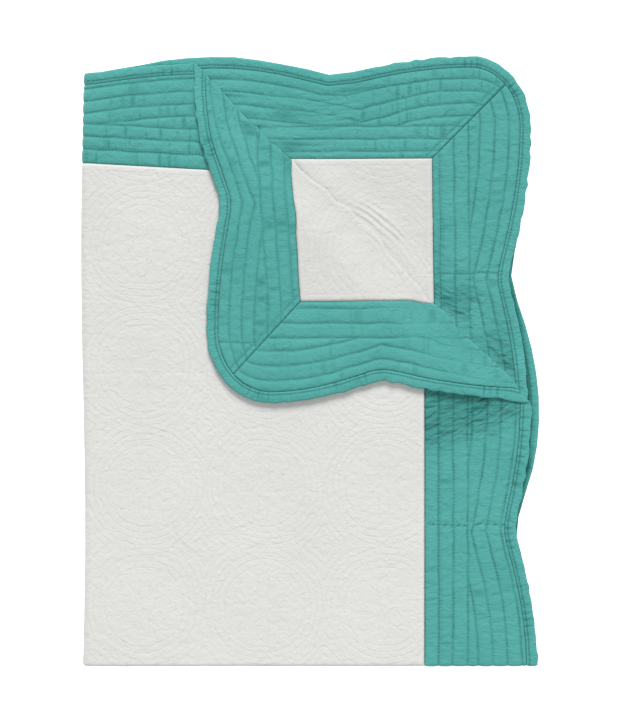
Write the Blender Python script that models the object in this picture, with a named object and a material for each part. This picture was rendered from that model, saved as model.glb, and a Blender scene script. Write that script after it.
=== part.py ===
"""A baby quilt folded in quarters, with one corner of its top layer turned back.

The quilt is drawn flat first, with u across it and v along it, both measured from its middle.
Each piece is a flat grid with its stitched channels. Every point of it then goes through the folds:
across the middle, along the middle, and over the crease of the turned corner.
The quarters lie as four layers: 1 is the top one and 4 the one on the floor.
All sizes are in millimetres until the last step, which scales them to metres.
"""

from math import cos, exp, pi, radians, sin, sqrt

import bmesh
import bpy
from mathutils import Vector

MM = 0.001

# Cloth
FULL_HALF = 1.7  # half the thickness of a padded channel
STITCHED_HALF = 0.9  # half the thickness at a line of stitches
HEM_HALF = 0.7  # half the thickness at the binding's outer edge
LAYER_PITCH = 4.0  # from the middle of one layer to the middle of the next
SEAM_GAP = 0.3  # between pieces that are sewn together
BINDING_WIDTH = 11.0

# Folds: the first across the middle, v = 0, and the second along it, u = 0, round the pair of layers
FIRST_RADIUS = LAYER_PITCH / 2
SECOND_RADIUS = LAYER_PITCH
FIRST_ARC = pi * FIRST_RADIUS / 2
SECOND_ARC = pi * SECOND_RADIUS / 2
FIRST_CUTS = 2  # grid lines on each half of a fold
SECOND_CUTS = 3
LEFT_SHIFT = SECOND_RADIUS + FIRST_RADIUS + FULL_HALF  # from the second fold's axis to the outer face
FRONT_SHIFT = FIRST_RADIUS + FULL_HALF  # from the first fold's axis to the outer face

# The turned corner
CREASE_REACH = 714.0  # x plus y of the crease, from the two folded edges
CREASE_RADIUS = 2.3
CREASE_CUTS = 7

# The flat quilt, one quarter for each layer. "end" is the side across the quilt and "side" the one along it.
# An edge row holds a place along the side from the fold, the reach from the other fold, and the shape there.
# A seam row holds a place and a reach. A seam is straight between its rows and ends at the panel's corner.
QUARTERS = {
    1: {
        "end_edge": [(0, 591, "hollow"), (125, 602, "crest"), (251, 575, "hollow"), (378, 588, "crest")],
        "side_edge": [(0, 453, "crest"), (137, 431, "hollow"), (262, 447, "crest"),
                      (414, 427, "hollow"), (524, 449, "crest")],
        "end_seam": [(0, 502), (125, 495), (212, 505), (348, 495)],
        "side_seam": [(0, 340), (285, 340), (365, 348), (495, 348)],
    },
    2: {
        "end_edge": [(0, 591, "hollow"), (138, 608, "crest"), (250, 590, "hollow"), (386, 609, "crest")],
        "side_edge": [(0, 453, "crest"), (137, 429, "hollow"), (262, 443, "crest"),
                      (387, 425, "hollow"), (538, 447, "crest")],
        "end_seam": [(0, 505), (348, 507)],
        "side_seam": [(0, 340), (340, 350), (507, 348)],
    },
    3: {
        "end_edge": [(0, 591, "hollow"), (132, 604, "crest"), (250, 585, "hollow"), (378, 604, "crest")],
        "side_edge": [(0, 452, "crest"), (134, 431, "hollow"), (254, 456, "crest"),
                      (389, 427, "hollow"), (531, 444, "crest")],
        "end_seam": [(0, 505), (350, 507)],
        "side_seam": [(0, 342), (507, 350)],
    },
    4: {
        "end_edge": [(0, 591, "hollow"), (125, 601, "crest"), (248, 583, "hollow"), (373, 600, "crest")],
        "side_edge": [(0, 452, "crest"), (134, 430, "hollow"), (258, 454, "crest"),
                      (390, 427, "hollow"), (528, 443, "crest")],
        "end_seam": [(0, 502), (350, 495)],
        "side_seam": [(0, 342), (495, 350)],
    },
}
HOLLOW_SOFTNESS = 10.0  # how far a scallop's hollow is rounded to each side
SCALLOP_POWER = 1.9
MITRE = sin(radians(45))

# The border strips: the axis that each runs along, its place on the other one, and the layers of its halves
BORDERS = {
    "border_top": {"kind": "end", "sign": 1, "negative": 4, "positive": 1},
    "border_right": {"kind": "side", "sign": 1, "negative": 2, "positive": 1},
    "border_bottom": {"kind": "end", "sign": -1, "negative": 3, "positive": 2},
    "border_left": {"kind": "side", "sign": -1, "negative": 3, "positive": 4},
}
STRAIGHT_PITCH = 14.0  # between the straight lines of stitches beside the seam
STRAIGHT_CHANNELS = 3
SCALLOPED_CHANNELS = 4  # between the last straight line and the binding
PLAIN_CHANNELS = 3  # across a border that shows nowhere

# Grid steps along the borders, and across the panel
SHOWN_STEP = 30.0
HIDDEN_STEP = 64.0
ROUNDED_STEP = 17.0
CLOSEST_STEP = 5.0
PANEL_SHOWN_STEP = 20.0
PANEL_HIDDEN_STEP = 72.0

# The panel's quilting: round medallions between small diamonds
MEDALLION_PITCH = 120.0
MEDALLION_RADIUS = 48.0
RING_WIDTH = 16.0
DIAMOND_DEPTH = 0.25

# How unevenly the stack lies: waves as shares of its height, thinner free edges and a bowed left fold
WAVES = [
    {"share": 0.035, "across": 61.0, "along": 83.0, "turn": 0.6},
    {"share": 0.025, "across": 47.0, "along": -52.0, "turn": 1.1},
    {"share": 0.020, "across": 151.0, "along": 118.0, "turn": 2.4},
]
OUTER_X = 456.0
OUTER_Y = 607.0
EDGE_SINK = 0.10
EDGE_SINK_WIDTH = 90.0
BOW = 2.0
BOW_LENGTH = 88.0
BOW_FADE = 120.0

TEAL = (0.085, 0.380, 0.345, 1.0)
WHITE = (0.780, 0.785, 0.760, 1.0)


def smooth_step(low, high, value):
    share = min(1.0, max(0.0, (value - low) / (high - low)))
    return share * share * (3 - 2 * share)


def seam_reach(layer, kind, along):
    """The reach of a quarter's seam at a place along it."""
    rows = QUARTERS[layer][kind + "_seam"]
    for first, second in zip(rows, rows[1:]):
        if along <= second[0]:
            break
    return first[1] + (second[1] - first[1]) * (along - first[0]) / (second[0] - first[0])


def scallop_reach(rows, along):
    """The reach of a scalloped edge: arcs over the crests that meet in softened hollows."""
    for first, second in zip(rows, rows[1:]):
        if along <= second[0]:
            break
    hollow, crest = (first, second) if first[2] == "hollow" else (second, first)
    span = sqrt((second[0] - first[0]) ** 2 + HOLLOW_SOFTNESS**2)
    off = sqrt((along - hollow[0]) ** 2 + HOLLOW_SOFTNESS**2)
    share = max(0.0, 1 - off / span) / (1 - HOLLOW_SOFTNESS / span)
    return crest[1] - (crest[1] - hollow[1]) * share**SCALLOP_POWER


def edge_reach(layer, kind, along):
    """The reach of a quarter's edge, which past its last crest is the rounded corner."""
    rows = QUARTERS[layer][kind + "_edge"]
    across = QUARTERS[layer]["side_edge" if kind == "end" else "end_edge"]
    centre, top, _ = rows[-1]
    if along <= centre:
        return scallop_reach(rows, along)
    middle, far, _ = across[-1]
    return middle + (top - middle) * sqrt(max(0.0, 1 - ((along - centre) / (far - centre)) ** 2))


def mitre_ends(layer, kind):
    """How far along a side its mitre starts at the seam and ends at the edge."""
    centre = QUARTERS[layer][kind + "_edge"][-1][0]
    far = QUARTERS[layer]["side_edge" if kind == "end" else "end_edge"][-1][1]
    return QUARTERS[layer][kind + "_seam"][-1][0], centre + MITRE * (far - centre)


def fold_places(kind):
    """Grid lines on the positive half of the fold that a side crosses."""
    arc, cuts = (SECOND_ARC, SECOND_CUTS) if kind == "end" else (FIRST_ARC, FIRST_CUTS)
    return [arc * i / cuts for i in range(cuts + 1)]


def filled(marks, step_at):
    """Adds even steps between the marks. step_at gives the longest step that a place allows."""
    places = [marks[0]]
    for first, second in zip(marks, marks[1:]):
        count = max(1, round((second - first) / step_at(first)))
        places += [first + (second - first) * (i + 1) / count for i in range(count)]
    return places


def half_places(layer, kind):
    """Places along the seam of half a side: its fold, the seam's turns, the hollows and the corner."""
    at_seam, at_edge = mitre_ends(layer, kind)
    marks = fold_places(kind) + [row[0] for row in QUARTERS[layer][kind + "_seam"][1:]]
    edge = QUARTERS[layer][kind + "_edge"]
    wanted = [edge[-1][0]]
    for place, _, shape in edge:
        if shape == "hollow":
            wanted += [place - HOLLOW_SOFTNESS, place, place + HOLLOW_SOFTNESS]
    for place in wanted:
        place *= at_seam / at_edge
        if place > 0 and min(abs(place - mark) for mark in marks) > CLOSEST_STEP:
            marks.append(place)
    rounded_from = edge[-1][0] * at_seam / at_edge - 1

    def step_at(place):
        if layer == 1 or layer == 2 and place > shown_from(kind):
            return ROUNDED_STEP if place > rounded_from else SHOWN_STEP
        return HIDDEN_STEP

    return filled(sorted(marks), step_at)


def shown_from(kind):
    """Along the second layer's seams, the place from which the turned corner uncovers them."""
    other = QUARTERS[2]["side_edge" if kind == "end" else "end_edge"][-1][1]
    return CREASE_REACH - other - SHOWN_STEP


def shows(u, v):
    """True where some face of the cloth can be seen from above."""
    return u > 0 and (v > 0 or u - v > CREASE_REACH - SHOWN_STEP)


def side_places(side):
    """All the places along one side, from one mitre through the fold to the other."""
    positive = half_places(side["positive"], side["kind"])
    negative = half_places(side["negative"], side["kind"])
    return [-place for place in reversed(negative[1:])] + positive


def flat_point(side, along, reach):
    along_u = side["kind"] == "end"
    return Vector((along, side["sign"] * reach)) if along_u else Vector((side["sign"] * reach, along))


def seam_point(side, place):
    layer = side["positive"] if place >= 0 else side["negative"]
    return flat_point(side, place, seam_reach(layer, side["kind"], abs(place)))


def edge_point(side, place):
    """The edge point that belongs to a place along the seam. Both reach the mitre together."""
    layer = side["positive"] if place >= 0 else side["negative"]
    at_seam, at_edge = mitre_ends(layer, side["kind"])
    out = abs(place) * at_edge / at_seam
    return flat_point(side, out if place >= 0 else -out, edge_reach(layer, side["kind"], out))


def inward(side, place, places):
    """The direction from the edge into the quilt: along the mitre at both ends, or else square to the edge."""
    if place in (places[0], places[-1]):
        return (seam_point(side, place) - edge_point(side, place)).normalized()
    near = 2.0
    along = edge_point(side, place + near) - edge_point(side, place - near)
    square = Vector((-along.y, along.x)).normalized()
    return square if square.dot(edge_point(side, place)) < 0 else -square


def lie(x, y):
    """The share of its full height that the stack has at a place, so that the floor stays level."""
    share = 1.0
    for wave in WAVES:
        share += wave["share"] * sin(x / wave["across"] + y / wave["along"] + wave["turn"])
    from_edge = min(OUTER_X - x, OUTER_Y - y)
    return share - EDGE_SINK * (1 - smooth_step(0, EDGE_SINK_WIDTH, from_edge))


def crease_start():
    """Where the top layer begins to curl up, measured square to the crease."""
    return CREASE_REACH / sqrt(2) - CREASE_RADIUS - FULL_HALF


def turned_corner(x, y, z, w):
    """Curls the top layer's corner up and back over itself about the slanting crease."""
    out, across = (x + y) / sqrt(2), (x - y) / sqrt(2)
    start = crease_start()
    if out <= start:
        return x, y, z
    axis_z = z - w + CREASE_RADIUS
    turn = (out - start) / CREASE_RADIUS
    if turn < pi:
        out = start + (CREASE_RADIUS - w) * sin(turn)
        z = axis_z - (CREASE_RADIUS - w) * cos(turn)
    else:
        out = 2 * start + pi * CREASE_RADIUS - out
        z = axis_z + CREASE_RADIUS - w
    return (out + across) / sqrt(2), (out - across) / sqrt(2), z


def folded(u, v, w):
    """Where a point of the flat quilt ends up. w is its height on the front of the cloth."""
    if v >= FIRST_ARC:
        y, z = v - FIRST_ARC, FIRST_RADIUS + w
    elif v <= -FIRST_ARC:
        y, z = -v - FIRST_ARC, -FIRST_RADIUS - w
    else:
        turn = v / FIRST_RADIUS
        y, z = -(FIRST_RADIUS + w) * cos(turn), (FIRST_RADIUS + w) * sin(turn)
    radius = SECOND_RADIUS + z
    if u >= SECOND_ARC:
        x, z = u - SECOND_ARC, radius
    elif u <= -SECOND_ARC:
        x, z = -u - SECOND_ARC, -radius
    else:
        turn = u / SECOND_RADIUS
        x, z = -radius * cos(turn), radius * sin(turn)
    x, y, z = x + LEFT_SHIFT, y + FRONT_SHIFT, z + LEFT_SHIFT
    if u > SECOND_ARC and v > FIRST_ARC:
        x, y, z = turned_corner(x, y, z, w)
    bow = BOW * sin(y / BOW_LENGTH) * exp(-x / BOW_FADE)
    return x + bow, y, z * lie(x, y)


def cut_crease(bm):
    """Adds the lines along which the corner curls, so that the crease is straight and round."""
    normal = Vector((1, 1, 0)).normalized()
    shift = (LEFT_SHIFT - SECOND_ARC + FRONT_SHIFT - FIRST_ARC) / sqrt(2)
    for i in range(CREASE_CUTS + 1):
        out = crease_start() + pi * CREASE_RADIUS * i / CREASE_CUTS
        geometry = bm.verts[:] + bm.edges[:] + bm.faces[:]
        bmesh.ops.bisect_plane(bm, geom=geometry, dist=0.05, plane_co=normal * (out - shift), plane_no=normal)


def cloth_solid(name, rows, halves, material, closed=False):
    """Makes one piece from its flat points and the half thickness at each, and folds it."""
    across = len(rows[0])
    bm = bmesh.new()
    bmesh.ops.create_grid(bm, x_segments=across - 1, y_segments=len(rows) - 1, size=1.0)
    bm.verts.ensure_lookup_table()
    half = bm.verts.layers.float.new("half")
    for i, row in enumerate(rows):
        for j, point in enumerate(row):
            vert = bm.verts[i * across + j]
            vert.co = (point[0], point[1], 0.0)
            vert[half] = halves[i][j]
    if closed:
        bmesh.ops.remove_doubles(bm, verts=bm.verts[:], dist=0.001)
    made = bmesh.ops.extrude_face_region(bm, geom=bm.faces[:])
    raised = {item for item in made["geom"] if isinstance(item, bmesh.types.BMVert)}
    for vert in bm.verts:
        vert.co.z = vert[half] if vert in raised else -vert[half]
    bmesh.ops.recalc_face_normals(bm, faces=bm.faces[:])
    cut_crease(bm)
    bmesh.ops.triangulate(bm, faces=bm.faces[:], quad_method="ALTERNATE")
    for vert in bm.verts:
        vert.co = Vector(folded(*vert.co)) * MM
    mesh = bpy.data.meshes.new(name)
    bm.to_mesh(mesh)
    bm.free()
    mesh.materials.append(material)
    mesh.shade_smooth()
    mesh.set_sharp_from_angle(angle=radians(60))
    piece = bpy.data.objects.new(name, mesh)
    bpy.context.scene.collection.children["baby_quilt"].objects.link(piece)
    return piece


def panel_point(u, v):
    """Moves a place on the even grid so that the panel's rim follows the seams of its quarter."""
    layer = (1 if v >= 0 else 2) if u >= 0 else (4 if v >= 0 else 3)
    corner_u = QUARTERS[layer]["end_seam"][-1][0]
    corner_v = QUARTERS[layer]["side_seam"][-1][0]
    reach_u = seam_reach(layer, "side", abs(v)) - SEAM_GAP
    reach_v = seam_reach(layer, "end", abs(u)) - SEAM_GAP
    return u * reach_u / corner_u, v * reach_v / corner_v


def medallion_half(u, v, checker):
    """Half the panel's thickness at a place: a padded medallion, its stitched ring, or the small diamonds."""
    off_u = (u % MEDALLION_PITCH) - MEDALLION_PITCH / 2
    off_v = (v % MEDALLION_PITCH) - MEDALLION_PITCH / 2
    from_ring = sqrt(off_u**2 + off_v**2) - MEDALLION_RADIUS
    if from_ring < -RING_WIDTH / 2:
        return FULL_HALF
    if from_ring < RING_WIDTH / 2:
        return STITCHED_HALF
    return FULL_HALF - DIAMOND_DEPTH * (1 + checker)


def panel_places(kind, positive, negative, hidden_until):
    """Grid lines of the panel in one direction. hidden_until gives each half's first fine place."""
    halves = []
    for layer, start in zip((positive, negative), hidden_until):
        marks = sorted(set(fold_places(kind) + [row[0] for row in QUARTERS[layer][kind + "_seam"][1:]]))
        halves.append(filled(marks, lambda place, start=start: (
            PANEL_SHOWN_STEP if place >= start else PANEL_HIDDEN_STEP)))
    return [-place for place in reversed(halves[1][1:])] + halves[0]


def make_panel():
    """The white middle of the quilt, one piece through all four layers."""
    never = OUTER_Y
    first_shown = QUARTERS[2]["side_seam"][1][0]
    columns = panel_places("end", 1, 4, (0, never))
    lines = panel_places("side", 1, 2, (0, first_shown))
    rows, halves = [], []
    for j, v in enumerate(lines):
        rows.append([panel_point(u, v) for u in columns])
        halves.append([])
        for i, u in enumerate(columns):
            half = medallion_half(u, v, (i + j) % 2) if shows(u, v) else FULL_HALF
            at_fold = abs(u) <= SECOND_ARC + PANEL_SHOWN_STEP or abs(v) <= FIRST_ARC + PANEL_SHOWN_STEP
            at_rim = i in (0, len(columns) - 1) or j in (0, len(lines) - 1)
            halves[-1].append(STITCHED_HALF if at_rim else FULL_HALF if at_fold else half)
    return cloth_solid("centre_panel", rows, halves, cotton("white_cotton", WHITE, 0.9))


def border_columns(side, width):
    """Distances from the seam across a border, with the half thickness there: stitches and crowns in turn."""
    if side["positive"] > 2:
        places = [width * i / PLAIN_CHANNELS for i in range(PLAIN_CHANNELS + 1)]
        return [(place, FULL_HALF) for place in places]
    straight = STRAIGHT_PITCH * STRAIGHT_CHANNELS
    scalloped = 2 * SCALLOPED_CHANNELS
    places = [straight * i / (2 * STRAIGHT_CHANNELS) for i in range(2 * STRAIGHT_CHANNELS)]
    places += [straight + (width - straight) * i / scalloped for i in range(scalloped + 1)]
    return [(place, FULL_HALF if i % 2 else STITCHED_HALF) for i, place in enumerate(places)]


def make_border(name):
    """One teal strip, mitred at both ends and folded at its middle, with channels along it."""
    side = BORDERS[name]
    places = side_places(side)
    out = flat_point(side, 0, 1)
    rows, halves = [], []
    for place in places:
        seam = seam_point(side, place)
        line = edge_point(side, place) + inward(side, place, places) * (BINDING_WIDTH + SEAM_GAP) - seam
        width = line.dot(out)
        row, half_row = [], []
        for distance, half in border_columns(side, width):
            point = seam + line * (distance / width)
            row.append(point)
            half_row.append(half if shows(*point) else FULL_HALF)
        half_row[0] = half_row[-1] = STITCHED_HALF
        rows.append(row)
        halves.append(half_row)
    trim = flat_point(side, SEAM_GAP * MITRE, 0)
    rows[0] = [point + trim for point in rows[0]]
    rows[-1] = [point - trim for point in rows[-1]]
    return cloth_solid(name, rows, halves, cotton(name + "_cotton", TEAL, 0.85))


def make_binding():
    """The narrow binding round the whole scalloped edge, one closed strip through every layer."""
    columns = [(0.0, HEM_HALF), (0.5, FULL_HALF), (1.0, STITCHED_HALF)]
    rows = []
    for name, way in (("border_top", 1), ("border_right", -1), ("border_bottom", -1), ("border_left", 1)):
        side = BORDERS[name]
        places = side_places(side)
        for place in places[::way][:-1]:
            depth = inward(side, place, places) * BINDING_WIDTH
            rows.append([edge_point(side, place) + depth * share for share, _ in columns])
    rows.append(rows[0])
    halves = [[half for _, half in columns] for _ in rows]
    return cloth_solid("binding", rows, halves, cotton("binding_cotton", TEAL, 0.85), closed=True)


def cotton(name, colour, roughness):
    """A plain woven cotton of the given colour."""
    material = bpy.data.materials.new(name)
    material.use_nodes = True
    shader = material.node_tree.nodes["Principled BSDF"]
    shader.inputs["Base Color"].default_value = colour
    shader.inputs["Roughness"].default_value = roughness
    shader.inputs["Metallic"].default_value = 0.0
    return material


def centre_on_origin(pieces):
    """Moves the quilt so that the middle of its foot is the origin."""
    points = [vert.co for piece in pieces for vert in piece.data.vertices]
    low = Vector([min(point[axis] for point in points) for axis in range(3)])
    high = Vector([max(point[axis] for point in points) for axis in range(3)])
    shift = Vector((-(low.x + high.x) / 2, -(low.y + high.y) / 2, -low.z))
    for piece in pieces:
        for vert in piece.data.vertices:
            vert.co += shift


def main():
    for old in list(bpy.data.objects):
        bpy.data.objects.remove(old)
    bpy.context.scene.collection.children.link(bpy.data.collections.new("baby_quilt"))
    pieces = [make_panel()]
    pieces += [make_border(name) for name in BORDERS]
    pieces.append(make_binding())
    centre_on_origin(pieces)


main()
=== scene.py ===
# Baby quilt: white quilted centre, scalloped teal border, folded in quarters, one corner turned back
from functools import partial
from math import pi, radians, sqrt

import bmesh
import bpy
import numpy as np
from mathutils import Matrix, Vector


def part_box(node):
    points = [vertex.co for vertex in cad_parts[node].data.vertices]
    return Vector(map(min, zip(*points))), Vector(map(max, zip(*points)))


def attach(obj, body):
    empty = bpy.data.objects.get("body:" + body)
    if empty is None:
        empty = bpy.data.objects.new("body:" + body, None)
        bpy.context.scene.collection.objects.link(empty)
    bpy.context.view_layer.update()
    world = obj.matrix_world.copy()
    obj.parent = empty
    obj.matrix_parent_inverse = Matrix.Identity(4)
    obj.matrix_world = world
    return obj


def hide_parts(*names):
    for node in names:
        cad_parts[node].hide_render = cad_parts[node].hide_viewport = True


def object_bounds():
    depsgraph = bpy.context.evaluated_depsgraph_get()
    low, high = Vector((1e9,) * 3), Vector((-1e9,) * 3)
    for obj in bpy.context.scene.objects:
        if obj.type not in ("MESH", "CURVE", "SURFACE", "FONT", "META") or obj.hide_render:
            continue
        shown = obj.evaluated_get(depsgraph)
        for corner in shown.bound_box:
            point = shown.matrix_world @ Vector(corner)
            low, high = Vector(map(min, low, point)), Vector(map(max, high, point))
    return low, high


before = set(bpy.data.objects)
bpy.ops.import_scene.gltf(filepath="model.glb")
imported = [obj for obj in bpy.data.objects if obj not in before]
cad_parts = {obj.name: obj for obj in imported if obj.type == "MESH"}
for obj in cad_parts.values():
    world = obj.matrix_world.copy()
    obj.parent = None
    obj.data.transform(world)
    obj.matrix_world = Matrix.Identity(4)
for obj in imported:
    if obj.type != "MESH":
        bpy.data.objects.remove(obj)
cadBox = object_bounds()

mm = 0.001
farAway = 1e3      # the distance where there is no line to be near

# The cloth and its folds, in millimetres. The quilt is drawn flat, u across it and v along it, then folded
cloth = {
    "fullHalf": 1.7,        # half the thickness of a padded channel
    "stitchedHalf": 0.8,    # and at a line of stitches
    "seamGap": 0.3,
    "bindingWidth": 11.0,
    "straightLines": 3,
    "frontFirst": 14, "backFirst": 7,      # from a seam to the first sewn line, as each face shows it
}
folds = {
    "firstRadius": 2.0,     # across the middle, v = 0
    "secondRadius": 4.0,    # along the middle, u = 0
    "creaseReach": 714.0,   # x plus y of the turned corner's crease
    "creaseRadius": 2.3,
    "creaseCuts": 9,
}
firstArc = pi * folds["firstRadius"] / 2
secondArc = pi * folds["secondRadius"] / 2
leftShift = folds["secondRadius"] + folds["firstRadius"] + cloth["fullHalf"]
frontShift = folds["firstRadius"] + cloth["fullHalf"]
diagonal = sqrt(2)
creaseStart = folds["creaseReach"] / diagonal - folds["creaseRadius"] - cloth["fullHalf"]
creaseEnd = creaseStart + pi * folds["creaseRadius"]

# One quarter for each layer, 1 on top. Edge rows: place along the side, reach, hollow or crest.
# Seam rows: place, reach, and the first sewn line's distance from the seam
quarters = {
    1: {
        "endEdge": [(0, 591, "hollow"), (125, 602, "crest"), (251, 575, "hollow"), (378, 588, "crest")],
        "sideEdge": [(0, 453, "crest"), (137, 431, "hollow"), (262, 447, "crest"),
                     (414, 427, "hollow"), (524, 449, "crest")],
        "endSeam": [(0, 502, 14), (125, 495, 14), (212, 505, 7), (348, 495, 7)],
        "sideSeam": [(0, 340, 14), (285, 340, 14), (365, 348, 7), (495, 348, 7)],
    },
    2: {
        "endEdge": [(0, 591, "hollow"), (138, 608, "crest"), (250, 590, "hollow"), (386, 609, "crest")],
        "sideEdge": [(0, 453, "crest"), (137, 429, "hollow"), (262, 443, "crest"),
                     (387, 425, "hollow"), (538, 447, "crest")],
        "endSeam": [(0, 505, 7), (348, 507, 7)],
        "sideSeam": [(0, 340, 14), (340, 350, 7), (507, 348, 7)],
    },
    3: {
        "endEdge": [(0, 591, "hollow"), (132, 604, "crest"), (250, 585, "hollow"), (378, 604, "crest")],
        "sideEdge": [(0, 452, "crest"), (134, 431, "hollow"), (254, 456, "crest"),
                     (389, 427, "hollow"), (531, 444, "crest")],
        "endSeam": [(0, 505, 7), (350, 507, 7)],
        "sideSeam": [(0, 342, 14), (507, 350, 14)],
    },
    4: {
        "endEdge": [(0, 591, "hollow"), (125, 601, "crest"), (248, 583, "hollow"), (373, 600, "crest")],
        "sideEdge": [(0, 452, "crest"), (134, 430, "hollow"), (258, 454, "crest"),
                     (390, 427, "hollow"), (528, 443, "crest")],
        "endSeam": [(0, 502, 14), (350, 495, 14)],
        "sideSeam": [(0, 342, 14), (495, 350, 14)],
    },
}
scallops = {"softness": 10.0, "power": 1.9}

# How unevenly the stack lies: waves as (share of the height, length across, length along, start)
lies = {
    "waves": [(0.035, 61.0, 83.0, 0.6), (0.025, 47.0, -52.0, 1.1), (0.020, 151.0, 118.0, 2.4)],
    "outerX": 456.0, "outerY": 607.0, "sink": 0.10, "sinkWidth": 90.0,
    "bow": 2.0, "bowLength": 88.0, "bowFade": 120.0,      # of the folded left side
    "flapLift": 0.5, "flapLiftWidth": 150.0, "flapUneven": 0.7, "flapPatch": 55.0,
}

# The turned corner's crease: it bulges in the white cloth, where soft ripples run along it
creaseLook = {
    "bulge": 7.0, "bulgeMiddle": -112.0, "bulgeWidth": 105.0, "bulgeReach": 80.0,
    "wave": 2.0, "waveLength": 15.0,
    "ripple": 0.7, "rippleLength": 9.5, "rippleBend": 0.0032, "rippleUneven": 6.0, "ripplePatch": 26.0,
    "rippleBack": (-13.0, -4.0), "rippleFront": (36.0, 16.0),      # from none to full, square to the crease
    "rippleMiddle": -84.0, "rippleSpan": (62.0, 24.0),      # and along it
    "hill": 2.6, "hillEnd": (34.0, 5.0),      # the layer below swells up to the crease
    "hillSpan": (340.0, 250.0), "hillUneven": 0.12, "hillPatch": 27.0,
    "openRise": (1.6, 6.5),      # the swelling's start and top where it stays clear of the crease
    "closedRise": (-2.0, 3.8),      # and where it meets it, in the white cloth and the lower border
    "closing": (-203.0, -178.0),      # places along the crease between the two
    "pressed": 0.36, "pressedReach": 44.0,      # the fold is pressed flatter towards its crease
}


def smoothStep(low, high, value):
    share = np.clip((value - low) / (high - low), 0, 1)
    return share * share * (3 - 2 * share)


def noise(x, y, cell, seed):  # smooth value noise from -1 to 1 on a square lattice
    table = np.random.RandomState(seed).uniform(-1, 1, (64, 64))
    x, y = x / cell + 1024, y / cell + 1024      # the shift keeps all places positive
    i, j = np.floor(x).astype(int), np.floor(y).astype(int)
    fx, fy = x - i, y - j
    fx, fy = fx * fx * (3 - 2 * fx), fy * fy * (3 - 2 * fy)
    low = table[i % 64, j % 64] * (1 - fx) + table[(i + 1) % 64, j % 64] * fx
    high = table[i % 64, (j + 1) % 64] * (1 - fx) + table[(i + 1) % 64, (j + 1) % 64] * fx
    return low * (1 - fy) + high * fy


def seamColumn(layer, kind, along, column):  # column 1 is the seam's reach, 2 its first sewn line
    rows = np.array(quarters[layer][kind + "Seam"], float)
    return np.interp(along, rows[:, 0], rows[:, column])


def scallopReach(layer, kind, along, softness):
    rows = quarters[layer][kind + "Edge"]
    place = np.array([row[0] for row in rows], float)
    reach = np.array([row[1] for row in rows], float)
    isHollow = np.array([row[2] == "hollow" for row in rows])
    i = np.clip(np.searchsorted(place, along) - 1, 0, len(rows) - 2)
    hollow = np.where(isHollow[i], i, i + 1)
    crest = np.where(isHollow[i], i + 1, i)
    span = np.hypot(place[i + 1] - place[i], softness)
    off = np.hypot(along - place[hollow], softness)
    share = np.clip(1 - off / span, 0, 1) / (1 - softness / span)
    return reach[crest] - (reach[crest] - reach[hollow]) * share ** scallops["power"]


def edgeReach(layer, kind, along, softness=scallops["softness"]):
    along = np.asarray(along, float)
    centre, top, _ = quarters[layer][kind + "Edge"][-1]
    middle, far, _ = quarters[layer]["sideEdge" if kind == "end" else "endEdge"][-1]
    turn = np.clip((along - centre) / (far - centre), 0, 1)
    corner = middle + (top - middle) * np.sqrt(1 - turn ** 2)
    return np.where(along <= centre, scallopReach(layer, kind, along, softness), corner)


def mitreEnds(layer, kind):
    centre = quarters[layer][kind + "Edge"][-1][0]
    far = quarters[layer]["sideEdge" if kind == "end" else "endEdge"][-1][1]
    return quarters[layer][kind + "Seam"][-1][0], centre + (far - centre) / diagonal


def lieShare(x, y):
    share = np.ones_like(x)
    for amount, across, along, start in lies["waves"]:
        share += amount * np.sin(x / across + y / along + start)
    fromEdge = np.minimum(lies["outerX"] - x, lies["outerY"] - y)
    return share - lies["sink"] * (1 - smoothStep(0, lies["sinkWidth"], fromEdge))


def rippleShare(signed, across):  # where the crease's ripples are, signed from the crease to the layer below
    c = creaseLook
    share = smoothStep(*c["rippleBack"], signed) * smoothStep(*c["rippleFront"], signed)
    share *= 0.35 + 0.65 * smoothStep(1.5, 7, np.abs(signed))      # fainter on the crease itself
    share *= smoothStep(*c["rippleSpan"], np.abs(across - c["rippleMiddle"]))
    return share * (0.15 + 0.85 * smoothStep(-0.5, 0.3, noise(across, signed * 2.2, 30, 18)))


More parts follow.
